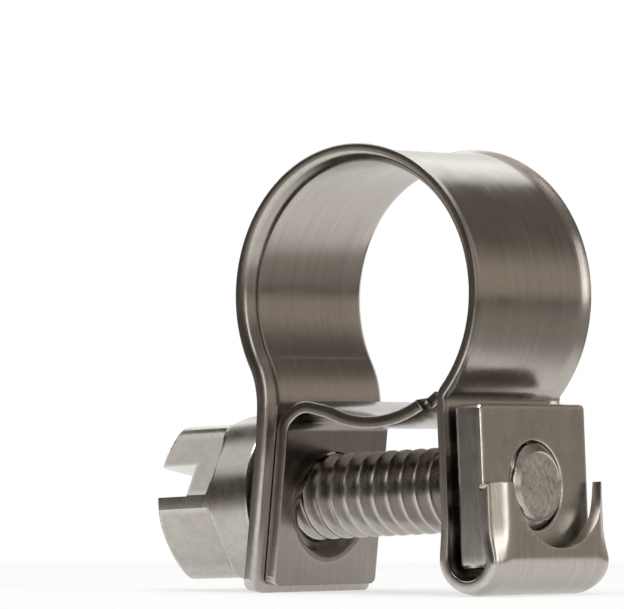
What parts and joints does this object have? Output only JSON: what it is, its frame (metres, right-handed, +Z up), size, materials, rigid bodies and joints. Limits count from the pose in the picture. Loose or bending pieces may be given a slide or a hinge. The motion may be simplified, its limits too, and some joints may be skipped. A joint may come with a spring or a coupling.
{
  "type": "hose clamp",
  "caption": "Small nut and bolt hose clamp: a flared metal band loops round a tube, and a slotted hex screw pulls its folded ear and plate nut towards the head to close it.",
  "frame": {"origin": "centre of the loop, on the hose axis, midway across the band", "axes": "+X along the screw from its head to its tip, +Y along the hose axis, +Z up, with the ears below the loop"},
  "size_m": [0.0205, 0.0088, 0.0203],
  "materials": {
    "band": "brushed, rolled edges",
    "bridge": "brushed",
    "screw": "bright, worn corners",
    "nut": "stamped, fine grain"
  },
  "bodies": {
    "band": {"band": "band", "bridge": "bridge"},
    "screw": {"screw": "screw"},
    "nut": {"nut": "nut"}
  },
  "joints": [
    {"name": "screw_turn", "type": "hinge", "parent": "band", "child": "screw", "pos_m": [0, 0, -0.00887], "axis": [0.9988, 0, 0.048], "range_deg": [0, 720]},
    {"name": "nut_travel", "type": "slide", "parent": "band", "child": "nut", "axis": [-0.9988, 0, -0.048], "range_m": [0, 0.00139], "deforming": ["band", "bridge"]}
  ],
  "couplings": [
    {"joint": "screw_turn", "follows": "nut_travel", "rad_per_m": 9000}
  ]
}
